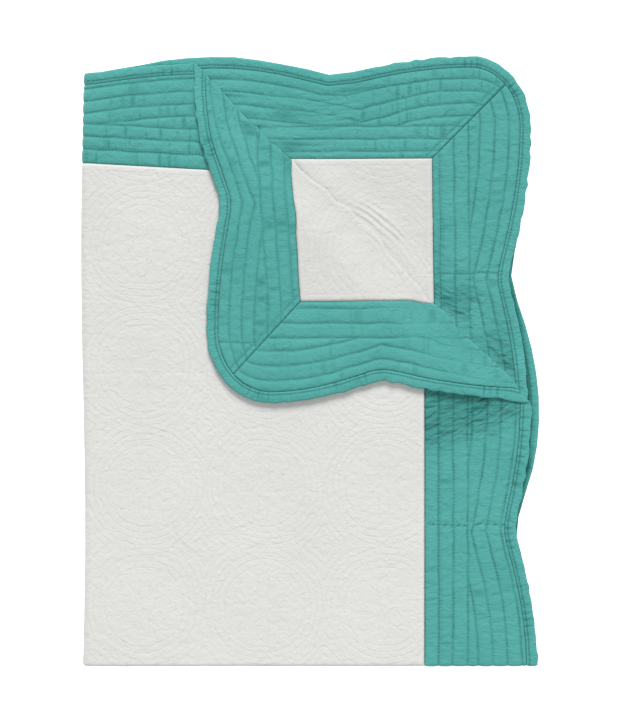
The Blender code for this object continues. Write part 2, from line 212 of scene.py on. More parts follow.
def foldCloth(u, v, w):  # where a point of the flat quilt ends up, w is its height on the front
    r1, r2 = folds["firstRadius"], folds["secondRadius"]
    # the first fold, across the middle
    turn = np.clip(v / r1, -pi / 2, pi / 2)
    flat = np.abs(v) >= firstArc
    y = np.where(flat, np.abs(v) - firstArc, -(r1 + w) * np.cos(turn))
    z = np.where(flat, np.sign(v) * (r1 + w), (r1 + w) * np.sin(turn))
    # the second fold, along the middle
    turn = np.clip(u / r2, -pi / 2, pi / 2)
    flat = np.abs(u) >= secondArc
    x = np.where(flat, np.abs(u) - secondArc, -(r2 + z) * np.cos(turn))
    z = np.where(flat, np.sign(u) * (r2 + z), (r2 + z) * np.sin(turn))
    x, y, z = x + leftShift, y + frontShift, z + leftShift
    # the top layer's corner curls back over the slanting crease
    out, across = (x + y) / diagonal, (x - y) / diagonal
    top = (u > secondArc) & (v > firstArc) & (out > creaseStart)
    rc = folds["creaseRadius"]
    turn = np.clip((out - creaseStart) / rc, 0, pi)
    over = out > creaseEnd
    newOut = np.where(over, creaseStart + creaseEnd - out, creaseStart + (rc - w) * np.sin(turn))
    newZ = z - w + rc - (rc - w) * np.cos(turn)
    lift = lies["flapLift"] * smoothStep(0, lies["flapLiftWidth"], creaseStart - newOut)
    lift *= 1 + lies["flapUneven"] * noise(x, y, lies["flapPatch"], 5)
    newZ = newZ + np.where(over, lift, 0)
    # the crease bulges outwards in the white cloth
    fromCrease = np.where(top, creaseStart + rc - newOut, np.abs(out - creaseStart - rc))
    c = creaseLook
    middle = smoothStep(1, 0, np.abs(across - c["bulgeMiddle"]) / c["bulgeWidth"])
    bulge = c["bulge"] * middle + c["wave"] * noise(across, 0 * across, c["waveLength"], 6)
    signed = np.where(top, newOut, out - bulge) - creaseStart - rc
    newOut += bulge * smoothStep(c["bulgeReach"], 0, np.abs(fromCrease))
    # the layer below swells up to it
    beyond = out - creaseStart - bulge
    close = smoothStep(*c["closing"], across)
    low, high = [start + (end - start) * close for start, end in zip(c["openRise"], c["closedRise"])]
    hill = c["hill"] * smoothStep(low, high, beyond) * smoothStep(*c["hillEnd"], beyond)
    hill *= 1 + c["hillUneven"] * close * noise(across, 0 * across, c["hillPatch"], 9)
    below = (u > secondArc) & (v < -firstArc)
    z = np.where(below, z + hill * smoothStep(*c["hillSpan"], np.abs(across - c["bulgeMiddle"])), z)
    # ripples run along it on both layers
    free = (over & top) | (below & (out > creaseEnd))
    bend = signed + c["rippleBend"] * (across - c["rippleMiddle"]) ** 2
    bend += c["rippleUneven"] * noise(across, signed, c["ripplePatch"], 7)
    ripple = c["ripple"] * (0.5 + 0.5 * np.sin(2 * pi * bend / c["rippleLength"]))
    ripple *= rippleShare(signed, across)
    newZ = newZ + np.where(free, ripple, 0)
    z = np.where(free & ~top, z + ripple, z)
    x = np.where(top, (newOut + across) / diagonal, x)
    y = np.where(top, (newOut - across) / diagonal, y)
    z = np.where(top, newZ, z)
    # the flap is pressed flatter near it, and the whole stack lies a little unevenly
    base = leftShift + r2 + r1 - cloth["fullHalf"] - cloth["seamGap"]
    flatter = c["pressed"] + (1 - c["pressed"]) * smoothStep(0, c["pressedReach"], fromCrease)
    z = np.where((u > secondArc) & (v > firstArc), base + (z - base) * flatter, z)
    bow = lies["bow"] * np.sin(y / lies["bowLength"]) * np.exp(-x / lies["bowFade"])
    return np.stack([x + bow, y, z * lieShare(x, y)], axis=-1)


# The visual model's corner of the folds goes where the CAD model's is
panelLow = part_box("centre_panel")[0]
floorZ = cadBox[0][2]
anchorU, anchorV = np.meshgrid(np.linspace(-secondArc, secondArc, 9), np.linspace(-firstArc, 490, 300))
anchor = foldCloth(anchorU.ravel(), anchorV.ravel(), np.full(anchorU.size, cloth["fullHalf"]))
shiftX = panelLow[0] - anchor[:, 0].min() * mm
shiftY = panelLow[1] - anchor[:, 1].min() * mm
print("frame loaded, shift", round(shiftX, 4), round(shiftY, 4))


def gridFaces(rows, columns, closed):
    wrap = rows if closed else rows - 1
    i, j = np.meshgrid(np.arange(wrap), np.arange(columns - 1), indexing="ij")
    a = i * columns + j
    b = ((i + 1) % rows) * columns + j
    return np.stack([a, a + 1, b + 1, b], axis=-1).reshape(-1, 4)


def sheetMesh(name, flat, half, fields, closed=False):
    # a closed thin sheet from a grid of flat points and the half thickness at each, folded
    rows, columns = half.shape
    count = rows * columns
    points = np.zeros((2 * count, 3))
    points[:, :2] = np.tile(flat.reshape(-1, 2), (2, 1))
    points[:count, 2] = half.ravel()
    points[count:, 2] = -half.ravel()
    front = gridFaces(rows, columns, closed)
    corner = flat.reshape(-1, 2)[front]
    one, two = corner[:, 1] - corner[:, 0], corner[:, 3] - corner[:, 0]
    if (one[:, 0] * two[:, 1] - one[:, 1] * two[:, 0]).sum() < 0:
        front = front[:, ::-1]
    back = front[:, ::-1] + count
    edges = {}
    border = np.concatenate([front[:, [0, 1]], front[:, [1, 2]], front[:, [2, 3]], front[:, [3, 0]]])
    for a, b in border.tolist():
        if (b, a) in edges:
            del edges[b, a]
        else:
            edges[a, b] = True
    rim = np.array([(b, a, a + count, b + count) for a, b in edges])
    faces = np.concatenate([front, back, rim])
    mesh = bpy.data.meshes.new(name)
    mesh.from_pydata(points, [], faces.tolist())
    both = {key: np.tile(values.ravel(), 2) for key, values in fields.items()}
    both["backing"] = np.repeat([0, 1], count)
    for key, values in both.items():
        mesh.attributes.new(key, "FLOAT", "POINT").data.foreach_set("value", values.astype(np.float32))
    cutCrease(mesh)
    place = np.zeros(len(mesh.vertices) * 3)
    mesh.vertices.foreach_get("co", place)
    place = place.reshape(-1, 3)
    loops = np.zeros(len(mesh.loops), int)
    mesh.loops.foreach_get("vertex_index", loops)
    uv = mesh.uv_layers.new(name="flat")
    uv.data.foreach_set("uv", (place[loops, :2] * mm).ravel())
    folded = foldCloth(place[:, 0], place[:, 1], place[:, 2]) * mm
    folded += (shiftX, shiftY, floorZ)
    mesh.vertices.foreach_set("co", folded.ravel())
    mesh.shade_smooth()
    mesh.update()
    piece = bpy.data.objects.new(name, mesh)
    bpy.context.scene.collection.objects.link(piece)
    print(name, len(mesh.loops) - 2 * len(mesh.polygons), "triangles")
    return piece


def cutCrease(mesh):  # adds the lines along which the corner curls, so that the crease is straight
    bm = bmesh.new()
    bm.from_mesh(mesh)
    normal = Vector((1, 1, 0)).normalized()
    shift = (leftShift - secondArc + frontShift - firstArc) / diagonal
    for i in range(folds["creaseCuts"] + 1):
        out = creaseStart + (creaseEnd - creaseStart) * i / folds["creaseCuts"] - shift
        near = [f for f in bm.faces if abs(f.verts[0].co.dot(normal) - out) < 12]
        if not near:
            continue
        touched = list({v for f in near for v in f.verts}) + list({e for f in near for e in f.edges}) + near
        bmesh.ops.bisect_plane(bm, geom=touched, dist=0.1, plane_co=normal * out, plane_no=normal)
    bm.to_mesh(mesh)
    bm.free()


def pillow(distance, width):  # 0 on a sewn line, 1 once this far from it
    return 1 - (1 - np.clip(distance / width, 0, 1)) ** 2


# Lengths in millimetres. The nearer narrowness is to 1, the finer the grooves are
puckerShape = {"spacing": 10.0, "stray": 4.0, "strayPatch": 9.0, "narrowness": 0.87, "patch": 23.0}


def puckers(along, across, seed):  # short grooves that cross a channel here and there
    p = puckerShape
    shifted = along + p["stray"] * noise(across, along, p["strayPatch"], seed + 1)
    grooves = smoothStep(p["narrowness"], 1.0, 1 - np.abs(noise(shifted, across, p["spacing"], seed)))
    return grooves * smoothStep(-0.35, 0.4, noise(along, across, p["patch"], seed + 2))


# The white centre, quilted in rosettes: petals round a small heart, and rings that echo outwards
panelLook = {
    "step": 2.5, "hiddenStep": 40.0, "hiddenTo": 340.0, "foldSteps": 8,
    "rosettePitch": 120.0, "ring": 40.0, "petal": 34.0, "petals": 8, "heart": 9.0,
    "echoPitch": 6.2, "lineDepth": 0.14, "lineWidth": 2.9, "topstitch": 6.5,
    "drift": 1.8, "driftPatch": 27.0, "ringUneven": 0.5,      # the rosettes aren't sewn quite true
    "dimples": [(0.07, 6, 11), (0.08, 21, 12)],      # depth, patch size and seed of the cloth's unevenness
    "seamDip": 0.45, "seamDipWidth": 2.5,
}


def steps(arc, reach, step, foldSteps):  # places from just past a fold to a seam
    fold = np.linspace(0, arc, foldSteps + 1)[1:] if foldSteps else []
    rest = np.linspace(arc, reach, int(round((reach - arc) / step)) + 1)[1:]
    return np.concatenate([fold, rest])


def makePanel():
    p = panelLook
    cornerU = {layer: quarters[layer]["endSeam"][-1][0] for layer in quarters}
    cornerV = {layer: quarters[layer]["sideSeam"][-1][0] for layer in quarters}
    hiddenU = steps(secondArc, cornerU[3], p["hiddenStep"], p["foldSteps"])
    shownU = steps(secondArc, cornerU[1], p["step"], p["foldSteps"])
    shownV = steps(firstArc, cornerV[1], p["step"], p["foldSteps"])
    firstV = steps(firstArc, p["hiddenTo"], p["hiddenStep"], p["foldSteps"])
    lastV = steps(p["hiddenTo"], cornerV[2], p["step"], 0)
    gridU = np.concatenate([-hiddenU[::-1], [0], shownU])
    gridV = np.concatenate([-lastV[::-1], -firstV[::-1], [0], shownV])
    u, v = np.meshgrid(gridU, gridV)
    flatU, flatV = u.copy(), v.copy()
    fromSeam = np.full_like(u, farAway)
    for layer, wayU, wayV in ((1, 1, 1), (2, 1, -1), (3, -1, -1), (4, -1, 1)):
        here = (np.where(u >= 0, 1, -1) == wayU) & (np.where(v >= 0, 1, -1) == wayV)
        reachU = seamColumn(layer, "side", np.abs(v), 1) - cloth["seamGap"]
        reachV = seamColumn(layer, "end", np.abs(u), 1) - cloth["seamGap"]
        shareU, shareV = np.abs(u) / cornerU[layer], np.abs(v) / cornerV[layer]
        flatU[here] = (wayU * shareU * reachU)[here]
        flatV[here] = (wayV * shareV * reachV)[here]
        nearest = np.minimum((1 - shareU) * reachU, (1 - shareV) * reachV)
        fromSeam[here] = nearest[here]
    half, fields = panelQuilting(flatU, flatV, fromSeam)
    return sheetMesh("quilt_centre", np.stack([flatU, flatV], axis=-1), half, fields)


# Soft creases that the fold left in the top layer: place across, from and to along, half width, depth
softCreases = [(76, 217, 275, 4.5, 0.5), (164, 225, 264, 4.0, 0.4), (121, 233, 263, 4.0, 0.35),
               (179, 243, 261, 3.5, 0.35), (58, 268, 310, 5.0, 0.3)]


def panelQuilting(u, v, fromSeam):
    p = panelLook
    pitch = p["rosettePitch"]
    offU = (u + p["drift"] * noise(u, v, p["driftPatch"], 15)) % pitch - pitch / 2
    offV = (v + p["drift"] * noise(u, v, p["driftPatch"], 16)) % pitch - pitch / 2
    r = np.hypot(offU, offV) + p["ringUneven"] * noise(u, v, 14, 10)
    theta = np.arctan2(offV, offU)
    petal = r - p["petal"] * np.abs(np.cos(p["petals"] * theta / 2)) ** 0.7
    echo = (r - p["ring"]) / p["echoPitch"]
    echoLine = np.abs(echo - np.round(echo)) * p["echoPitch"]
    inner = np.minimum(np.abs(petal), np.abs(r - p["heart"]))
    lines = np.where(r < p["ring"] - p["echoPitch"] / 2, inner, echoLine)
    rimmed = fromSeam < p["topstitch"]
    lines = np.where(rimmed, p["topstitch"] - fromSeam, np.minimum(lines, fromSeam - p["topstitch"]))
    uneven = (0.6 + 0.5 * noise(u, v, 17, 13)) * (0.8 + 0.5 * noise(u, v, 70, 17))
    half = cloth["fullHalf"] - p["lineDepth"] * uneven * (1 - pillow(lines, p["lineWidth"]))
    for depth, patch, seed in p["dimples"]:
        half -= depth * (1 + noise(u, v, patch, seed))
    half -= p["seamDip"] * smoothStep(p["seamDipWidth"], 0, fromSeam)
    for atU, fromV, toV, width, depth in softCreases:
        off = np.abs(u - atU - 2 * noise(v, v * 0, 23, 14))
        ends = smoothStep(fromV - 12, fromV + 8, v) * smoothStep(toV + 14, toV - 8, v)
        half -= depth * smoothStep(width, 0, off) * ends
    x, y = np.abs(u) - secondArc + leftShift, np.abs(v) - firstArc + frontShift
    crease = np.where(v > 0, (creaseStart + creaseEnd) / 2, creaseStart + folds["creaseRadius"])
    off = np.where(u > 0, (x + y) / diagonal - crease, farAway)
    along = (x - y) / diagonal
    signed = off * np.where(v > 0, -1, 1)
    bend = signed + creaseLook["rippleBend"] * (along - creaseLook["rippleMiddle"]) ** 2
    return half, {"ring": r, "petal": petal, "fromSeam": fromSeam, "near": lines,
                  "ripple": bend, "rippleShare": rippleShare(signed, along) * (off > -1)}


# The teal borders. Each side of the quilt has a strip that is mitred at both ends
borderLook = {
    "lineSpacing": 13.5, "twin": 0.19,      # in the shader: a fainter second row beside the first line
    "along": 2.2, "hiddenAlong": 24.0, "across": 1.25, "foldSteps": 6,
    "smoothEcho": 24.0, "notchedEcho": 31.0, "crown": 5.0,
    "frontSecond": 15.5, "backSecond": 22.0,      # from the edge to the line next to the binding's
    "puckerDepth": 0.75, "wobble": 0.6, "fineWobble": 0.25, "crossWobble": 1.5, "dimple": 0.05,
    "besideMitre": 5.5, "width": 95.0, "hiddenColumns": 16,
    # puckerShade scales the painted shade in the pucker grooves
    "puckerShade": {"side": 1.0, "end": 1.8},
    "bunched": (205, 240), "bunchDepth": 1.3, "bunchReach": 66.0,      # puckers beside the turned corner, which also get painted shade
    "besideCrease": (62.0, 12.0), "smoothed": 0.7, "fainter": 2.2,      # the flap is pulled smooth there
    "thinnest": 0.6,
}
# Where a hollow's inner lines meet, the notches lean along the side: place, shift, and shift for each mm
leans = {(2, "end"): (250, 20.0, 0.25), (1, "side"): (137, 0.0, -0.18)}
# Sewn lines that cross a strip: layer, kind of side, place, from and to as a share of the way out
crossLines = [(1, "side", 141, 0.03, 0.90), (2, "side", 392, 0.05, 0.93), (1, "end", 388, 0.45, 1.0)]
borders = {
    "border_top": {"kind": "end", "sign": 1, "negative": 4, "positive": 1, "seed": 20, "pitch": 12.6},
    "border_right": {"kind": "side", "sign": 1, "negative": 2, "positive": 1, "seed": 40, "pitch": 14.6},
    "border_bottom": {"kind": "end", "sign": -1, "negative": 3, "positive": 2, "seed": 60, "pitch": 12.6},
    "border_left": {"kind": "side", "sign": -1, "negative": 3, "positive": 4, "seed": 80, "pitch": 14.6},
}


# Painted shade in the gap between the stacked edges, seen at the right side
shadeLook = {"flapFrom": 262.0, "width": 8.0, "full": 0.5, "strength": 0.8, "uneven": 0.35, "patch": 5.0}


def halfPlaces(layer, kind):  # along the seam, fine where the strip can be seen
    look = borderLook
    atSeam, atEdge = mitreEnds(layer, kind)
    arc = secondArc if kind == "end" else firstArc
    other = quarters[2]["sideEdge" if kind == "end" else "endEdge"][-1][1]
    shownFrom = {1: arc, 2: folds["creaseReach"] - other - 30, 3: atSeam, 4: atSeam}[layer]
    places = [np.linspace(0, arc, look["foldSteps"] + 1)]
    for low, high, step in ((arc, shownFrom, look["hiddenAlong"]), (shownFrom, atSeam, look["along"])):
        if high > low:
            count = max(1, int(round((high - low) / step * atEdge / atSeam)))
            places.append(np.linspace(low, high, count + 1)[1:])
    return np.concatenate(places)


def sidePlaces(side):
    positive = halfPlaces(side["positive"], side["kind"])
    negative = halfPlaces(side["negative"], side["kind"])
    return np.concatenate([-negative[:0:-1], positive])


def byLayer(side, place, reader):  # reads each half of a side from its own quarter
    return np.where(place >= 0, reader(side["positive"]), reader(side["negative"]))


def flatPoint(side, along, reach):
    pair = [along, side["sign"] * reach]
    return np.stack(pair if side["kind"] == "end" else pair[::-1], axis=-1)


def seamPoint(side, place):
    reach = byLayer(side, place, lambda n: seamColumn(n, side["kind"], np.abs(place), 1))
    return flatPoint(side, place, reach)


def edgePoint(side, place):
    ratio = byLayer(side, place, lambda n: mitreEnds(n, side["kind"])[1] / mitreEnds(n, side["kind"])[0])
    along = place * ratio
    return flatPoint(side, along, byLayer(side, place, lambda n: edgeReach(n, side["kind"], np.abs(along))))


def inwardWay(side, place):  # from the edge into the quilt, along the mitre at both ends
    edge = edgePoint(side, place)
    along = edgePoint(side, place + 1.0) - edgePoint(side, place - 1.0)
    square = np.stack([-along[:, 1], along[:, 0]], axis=-1)
    square /= np.linalg.norm(square, axis=1)[:, None]
    square *= np.where((square * edge).sum(axis=1) < 0, 1, -1)[:, None]
    for end in (0, -1):
        way = seamPoint(side, place)[end] - edge[end]
        square[end] = way / np.linalg.norm(way)
    return square


def borderLines(side, place, flat, rowPlace, along, reach):
    # straight counts the lines beside the seam, arc those that echo the edge, and near is to the nearest
    look = borderLook
    kind, seed, pitch = side["kind"], side["seed"], side["pitch"]
    wobble = look["wobble"] * noise(along, reach, 16, seed)
    wobble = wobble + look["fineWobble"] * noise(along, reach, 6, seed + 1)
    seam = byLayer(side, rowPlace, lambda n: seamColumn(n, kind, along, 1))
    first = byLayer(side, rowPlace, lambda n: seamColumn(n, kind, along, 2))
    edge = byLayer(side, rowPlace, lambda n: edgeReach(n, kind, along)) - reach
    leaning = along + byLayer(side, rowPlace, lambda n: leanShift(n, kind, along, edge))
    lobe = byLayer(side, rowPlace, lambda n: edgeReach(n, kind, leaning, 0.01)) - reach
    fromSeam = reach - seam + wobble * smoothStep(0, 6, reach - seam)
    echo = edge + (lobe - edge) * smoothStep(look["smoothEcho"], look["notchedEcho"], edge) + wobble
    straight = np.where(fromSeam < first, fromSeam / first - 1, (fromSeam - first) / pitch)
    backShare = (cloth["frontFirst"] - first) / (cloth["frontFirst"] - cloth["backFirst"])
    second = look["frontSecond"] + (look["backSecond"] - look["frontSecond"]) * backShare
    arc = (echo - second) / pitch
    last = first + pitch * (cloth["straightLines"] - 1)
    width = np.where(fromSeam < first, first, pitch)
    nearStraight = np.abs(straight - np.round(straight)) * width
    nearArc = np.where(arc < 0, np.minimum(second - echo, echo - cloth["bindingWidth"]),
                       np.abs(arc - np.round(arc)) * pitch)
    nearArc = np.minimum(np.abs(nearArc), fromSeam - last)
    near = np.where(fromSeam < last, nearStraight, nearArc)
    channel = np.where(fromSeam < last, np.floor(straight), 10 + np.floor(arc))
    cross = np.full_like(near, farAway)
    for layer, way, at, low, high in crossLines:
        here = (kind == way) & (np.where(rowPlace >= 0, side["positive"], side["negative"]) == layer)
        share = fromSeam / (fromSeam + edge)
        off = np.abs(along - at + look["crossWobble"] * noise(reach, along * 0, 19, seed + 9))
        cross = np.where(here & (share > low) & (share < high), np.minimum(cross, off), cross)
    near = np.minimum(near, cross + 0.3)
    fromMitre = mitreDistance(side, flat, place)
    beside = np.abs(fromMitre - look["besideMitre"]) if kind == "end" else np.full_like(near, farAway)
    near = np.minimum(np.minimum(near, beside), np.abs(fromMitre) + 0.4)
    return {"straight": straight, "arc": arc, "near": near, "cross": cross, "beside": beside}, channel


def borderQuilting(side, place, flat):
    look = borderLook
    kind, seed = side["kind"], side["seed"]
    along, reach = (flat[..., 0], flat[..., 1]) if kind == "end" else (flat[..., 1], flat[..., 0])
    along, reach = np.abs(along), np.abs(reach)
    rowPlace = place[:, None] + np.zeros_like(along)
    fields, channel = borderLines(side, place, flat, rowPlace, along, reach)
    depth = pillow(fields["near"], look["crown"])
    groove = puckers(along, channel * 97.0, seed + 3)
    if kind == "end":
        groove = np.maximum(groove, puckers(along, channel * 61.0, seed + 15))
    half = cloth["stitchedHalf"] + (cloth["fullHalf"] - cloth["stitchedHalf"]) * depth
    half -= look["puckerDepth"] * groove * depth + look["dimple"] * (1 + noise(along, reach, 4, seed + 7))
    bunch = 0 * along
    out = (along + reach - firstArc + frontShift - secondArc + leftShift) / diagonal - creaseStart
    beyond = out - (creaseEnd - creaseStart)
    calm = smoothStep(0, 8, beyond) * (rowPlace > 0) * (side["positive"] == 1)      # 1 on the turned corner
    half += look["puckerDepth"] * groove * depth * 0.5 * calm
    if kind == "side":
        bunch = smoothStep(*look["bunched"], rowPlace) * smoothStep(-8, -20, beyond)
        aside = smoothStep(look["bunchReach"], 18, out) * smoothStep(5, 17, out)
        aside *= 0.55 + 0.45 * noise(along, reach, 18, seed + 12)
        bunch = np.maximum(bunch, np.where(rowPlace < 0, aside, 0))
        fade = smoothStep(*look["besideCrease"], beyond) * (rowPlace > 0) * (beyond > 0)
        half += look["smoothed"] * fade * (cloth["fullHalf"] - half)
        fields["near"] = fields["near"] + look["fainter"] * fade
        fold = noise(along * 0.9 - reach * 0.45, reach * 0.25 + along * 0.1, 5.6, seed + 11)
        half -= look["bunchDepth"] * bunch * smoothStep(0.0, 0.7, fold)
    # the pucker and bunch fields also darken the colour as painted shade
    fields.update({"along": along, "bunch": bunch, "pucker": groove * depth * look["puckerShade"][kind],
                   "calm": calm, "inGap": gapShade(side, rowPlace, along, reach)})
    return np.maximum(half, look["thinnest"]), fields


def gapShade(side, place, along, reach):  # painted shade, 1 on a lower layer close beside the edge of the one above
    kind = side["kind"]
    layer = np.where(place >= 0, side["positive"], side["negative"])
    underFirst = (kind == "side") & (along < shadeLook["flapFrom"])
    above = np.where(underFirst, edgeReach(1, kind, along), edgeReach(2, kind, along))
    shade = smoothStep(shadeLook["width"], shadeLook["full"], reach - above)
    shade *= shadeLook["strength"] + shadeLook["uneven"] * noise(along, reach, shadeLook["patch"], 19)
    return shade * ((layer > 2) | ((layer == 2) & underFirst))


def mitreDistance(side, flat, place):  # square to the nearer mitre
    seam, edge = seamPoint(side, place), edgePoint(side, place)
    nearest = np.full(flat.shape[:2], farAway)
    for end in (0, -1):
        way = (edge[end] - seam[end]) / np.linalg.norm(edge[end] - seam[end])
        off = flat - seam[end]
        nearest = np.minimum(nearest, np.abs(off[..., 0] * way[1] - off[..., 1] * way[0]))
    return nearest


def leanShift(layer, kind, along, edge):
    if (layer, kind) not in leans:
        return 0 * along
    at, jump, lean = leans[layer, kind]
    shift = jump * smoothStep(3, 19, edge) + lean * np.clip(edge - 19, 0, 40)
    return -shift * smoothStep(85, 25, np.abs(along - at - jump))


def makeBorder(node, name):
    side = borders[node]
    place = sidePlaces(side)
    seam = seamPoint(side, place)
    rim = edgePoint(side, place) + inwardWay(side, place) * (cloth["bindingWidth"] + cloth["seamGap"])
    shown = side["positive"] < 3
    columns = int(round(borderLook["width"] / borderLook["across"])) if shown else borderLook["hiddenColumns"]
    share = np.linspace(0, 1, columns)[None, :, None]
    flat = seam[:, None] + (rim - seam)[:, None] * share
    trim = cloth["seamGap"] / diagonal
    flat[0] += flatPoint(side, trim, 0.0)
    flat[-1] -= flatPoint(side, trim, 0.0)
    half, fields = borderQuilting(side, place, flat)
    return sheetMesh(name, flat, half, fields)


# The binding, one strip round the whole scalloped edge, a little ruffled by its stitches
bindingLook = {
    "columns": 9, "ruffle": 6.8, "ruffleDepth": 0.45, "seed": 100, "uneven": 0.8, "unevenLength": 7.0,
    # gatherShade scales the painted shade in the ruffle's gathers
    "stitchedAt": 8.2, "gatherShade": 2.2,
    # share of the way in, and half the thickness there
    "profile": ([0, 0.15, 0.45, 0.8, 1], [0.75, 1.35, 1.7, 1.5, 0.75]),
}


def makeBinding():
    look = bindingLook
    rim, way, shade = [], [], []
    for node, order in (("border_top", 1), ("border_right", -1), ("border_bottom", -1), ("border_left", 1)):
        side = borders[node]
        place = sidePlaces(side)
        rim.append(edgePoint(side, place)[::order][:-1])
        way.append(inwardWay(side, place)[::order][:-1])
        along, reach = edgePoint(side, place).T[::1 if side["kind"] == "end" else -1]
        inner = np.abs(reach)[:, None] - cloth["bindingWidth"] * np.linspace(0, 1, look["columns"])
        rows = np.abs(along)[:, None] + 0 * inner
        # painted shade in the gap beside the edge of the layer above
        shade.append(gapShade(side, place[:, None] + 0 * inner, rows, inner)[::order][:-1])
    rim, way = np.concatenate(rim), np.concatenate(way)
    share = np.linspace(0, 1, look["columns"])
    length = np.concatenate([[0], np.cumsum(np.linalg.norm(np.diff(rim, axis=0), axis=1))])
    along = length[:, None] + 0 * share
    uneven = look["uneven"] * noise(along, 0 * along, look["unevenLength"], look["seed"] + 3) * (1 - share)
    flat = rim[:, None] + way[:, None] * (cloth["bindingWidth"] * share + uneven)[..., None]
    across = share[None, :] + 0 * along
    profile = np.interp(share, *look["profile"])
    wave = np.sin(2 * pi * along / look["ruffle"] + 5 * noise(along, 0 * along, 15, look["seed"]))
    wave = np.clip(wave, 0, 1) * smoothStep(-0.4, 0.6, noise(along, across * 3, 30, look["seed"] + 1))
    half = profile[None, :] - look["ruffleDepth"] * wave * smoothStep(0.1, 0.6, across)
    half -= 0.05 * (1 + noise(along, across * 11, 4, look["seed"] + 2))
    # the pucker field is painted shade in the gathers
    fields = {"along": along, "across": across * cloth["bindingWidth"],
              "near": np.abs(across * cloth["bindingWidth"] - look["stitchedAt"]),
              "inGap": np.concatenate(shade),
              "pucker": look["gatherShade"] * wave ** 2 * smoothStep(0.05, 0.5, across)}
    return sheetMesh("quilt_binding", flat, half, fields, closed=True), length[-1]


# Materials
def linear(hexColour):  # sRGB hex to linear
    parts = [int(hexColour[i:i + 2], 16) / 255 for i in (1, 3, 5)]
    return tuple(c / 12.92 if c <= 0.04045 else ((c + 0.055) / 1.055) ** 2.4 for c in parts) + (1.0,)


def addNode(tree, kind, inputs=(), output=0, **settings):
    # adds a node with its settings. Inputs are numbers or other nodes' outputs, and one output is given back
    node = tree.nodes.new("ShaderNode" + kind)
    for key, value in settings.items():
        setattr(node, key, value)
    for key, value in inputs.items() if isinstance(inputs, dict) else enumerate(inputs):
        if isinstance(value, bpy.types.NodeSocket):
            tree.links.new(value, node.inputs[key])
        else:
            node.inputs[key].default_value = value
    return node.outputs[output]


# Settings that many nodes share
times, plus, minus, larger, unsigned = [{"operation": word} for word in (
    "MULTIPLY", "ADD", "SUBTRACT", "MAXIMUM", "ABSOLUTE")]
soft = {"interpolation_type": "SMOOTHSTEP"}
wavesPerUnit = 20 / (2 * pi)      # bands that a wave texture makes in one metre at scale 1

# Stitches and sewn lines as drawn, in millimetres: each pair is where a line is full and where it ends
stitchLook = {
    "length": 3.2, "gap": (-0.6, 0.2, 0.45, 1.0),      # how the wave turns into stitches and fainter gaps
    "borderWidth": 1.1, "panelWidth": 0.9, "narrow": (0.4, 0.9), "petal": (0.4, 1.0),
    "besideMitre": (0.3, 1.0), "cross": (0.3, 1.2), "crossStrength": 1.2,
    "fadedPatch": 26.3, "faded": (0.35, 0.62, 0.25, 1.0),      # where the teal's lines are worn faint
    "brokenPatch": 3.85, "calmShare": 0.4,
}
# Fine creases in the bump: lengths along and across a channel, in millimetres, and their strengths
puckerLook = {
    "length": 4.4, "slantSize": (20 * mm, 6.2 * mm, 1), "slant": radians(27), "slantStrength": 7.0,
    "bunchShare": 1.6, "calmShare": 0.55, "bindingLength": 2.6, "bindingWidth": 9.0,
    "lawnSize": 5.88, "rippleSize": 38.5, "ripplePitch": 6.2, "rippleStray": 7.0, "rippleStrength": 1.6,
}


def woven(add, uv, thread):  # height of a plain weave, two sets of threads on the flat quilt's own map
    return add("Math", [add("TexWave", {
        "Vector": uv, "Scale": 1 / (thread * wavesPerUnit), "Distortion": 0.6, "Detail": 1.0,
        "Detail Scale": 1.5}, output="Fac", bands_direction=way) for way in ("X", "Y")], **times)


def cottonMaterial(name, look, drawLines, drawPuckers):
    material = bpy.data.materials.new(name)
    material.use_nodes = True
    tree = material.node_tree
    shader = tree.nodes["Principled BSDF"]
    add = partial(addNode, tree)
    uv = add("UVMap", uv_map="flat")
    read = {key: add("Attribute", output="Fac", attribute_name=key) for key in look["fields"]}
    lines = drawLines(add, read, uv)
    groove = add("MapRange", (read["near"], 0.0, look["grooveWidth"], 1.0, 0.0), **soft)
    fade = add("TexNoise", {"Vector": uv, "Scale": 1 / look["fadeSize"], "Detail": 3.0}, output="Fac")
    slub = add("TexNoise", {"Vector": uv, "Scale": 1 / look["slubSize"], "Detail": 4.0}, output="Fac")
    crumple = add("TexNoise", {"Vector": uv, "Scale": 1 / look["crumpleSize"], "Detail": 2.0,
                               "Distortion": 0.8}, output="Fac")

    # painted shade: the colour darkens towards the grooves of the sewn lines, then by each of the shades
    deep = add("Math", (add("Math", (groove, groove), **times), look["paintedGrooveShade"]), **times)
    # the teal's shades are painted shade, in the gaps beside upper edges, in pucker grooves and where the
    # cloth bunches
    for key, strength in look["shades"].items():
        deep = add("Math", (deep, add("Math", (read[key], strength), **times)), **plus)
    colour, line = linear(look["deep"]), linear(look["line"])
    stitched = add("Math", (lines, look["lineStrength"]), **times)
    for share, other in ((fade, linear(look["pale"])), (deep, line), (stitched, line)):
        colour = add("Mix", {0: share, 6: colour, 7: other}, output=2, data_type="RGBA")
    tree.links.new(colour, shader.inputs["Base Color"])

    height = 0.0
    for part, depth in ((woven(add, uv, look["thread"]), look["weaveHeight"]), (slub, look["slubHeight"]),
                        (lines, -look["lineHeight"]), (drawPuckers(add, read, uv), look["puckerHeight"]),
                        (crumple, look["crumpleHeight"]), (groove, -look["grooveHeight"])):
        height = add("Math", (height, add("Math", (part, depth), **times)), **plus)
    bump = add("Bump", {"Height": height, "Distance": mm, "Strength": 1.0})
    tree.links.new(bump, shader.inputs["Normal"])
    shader.inputs["Roughness"].default_value = look["roughness"]
    shader.inputs["Sheen Weight"].default_value = look["sheen"]
    shader.inputs["Sheen Roughness"].default_value = 0.5
    shader.inputs["Specular IOR Level"].default_value = 0.25
    return material


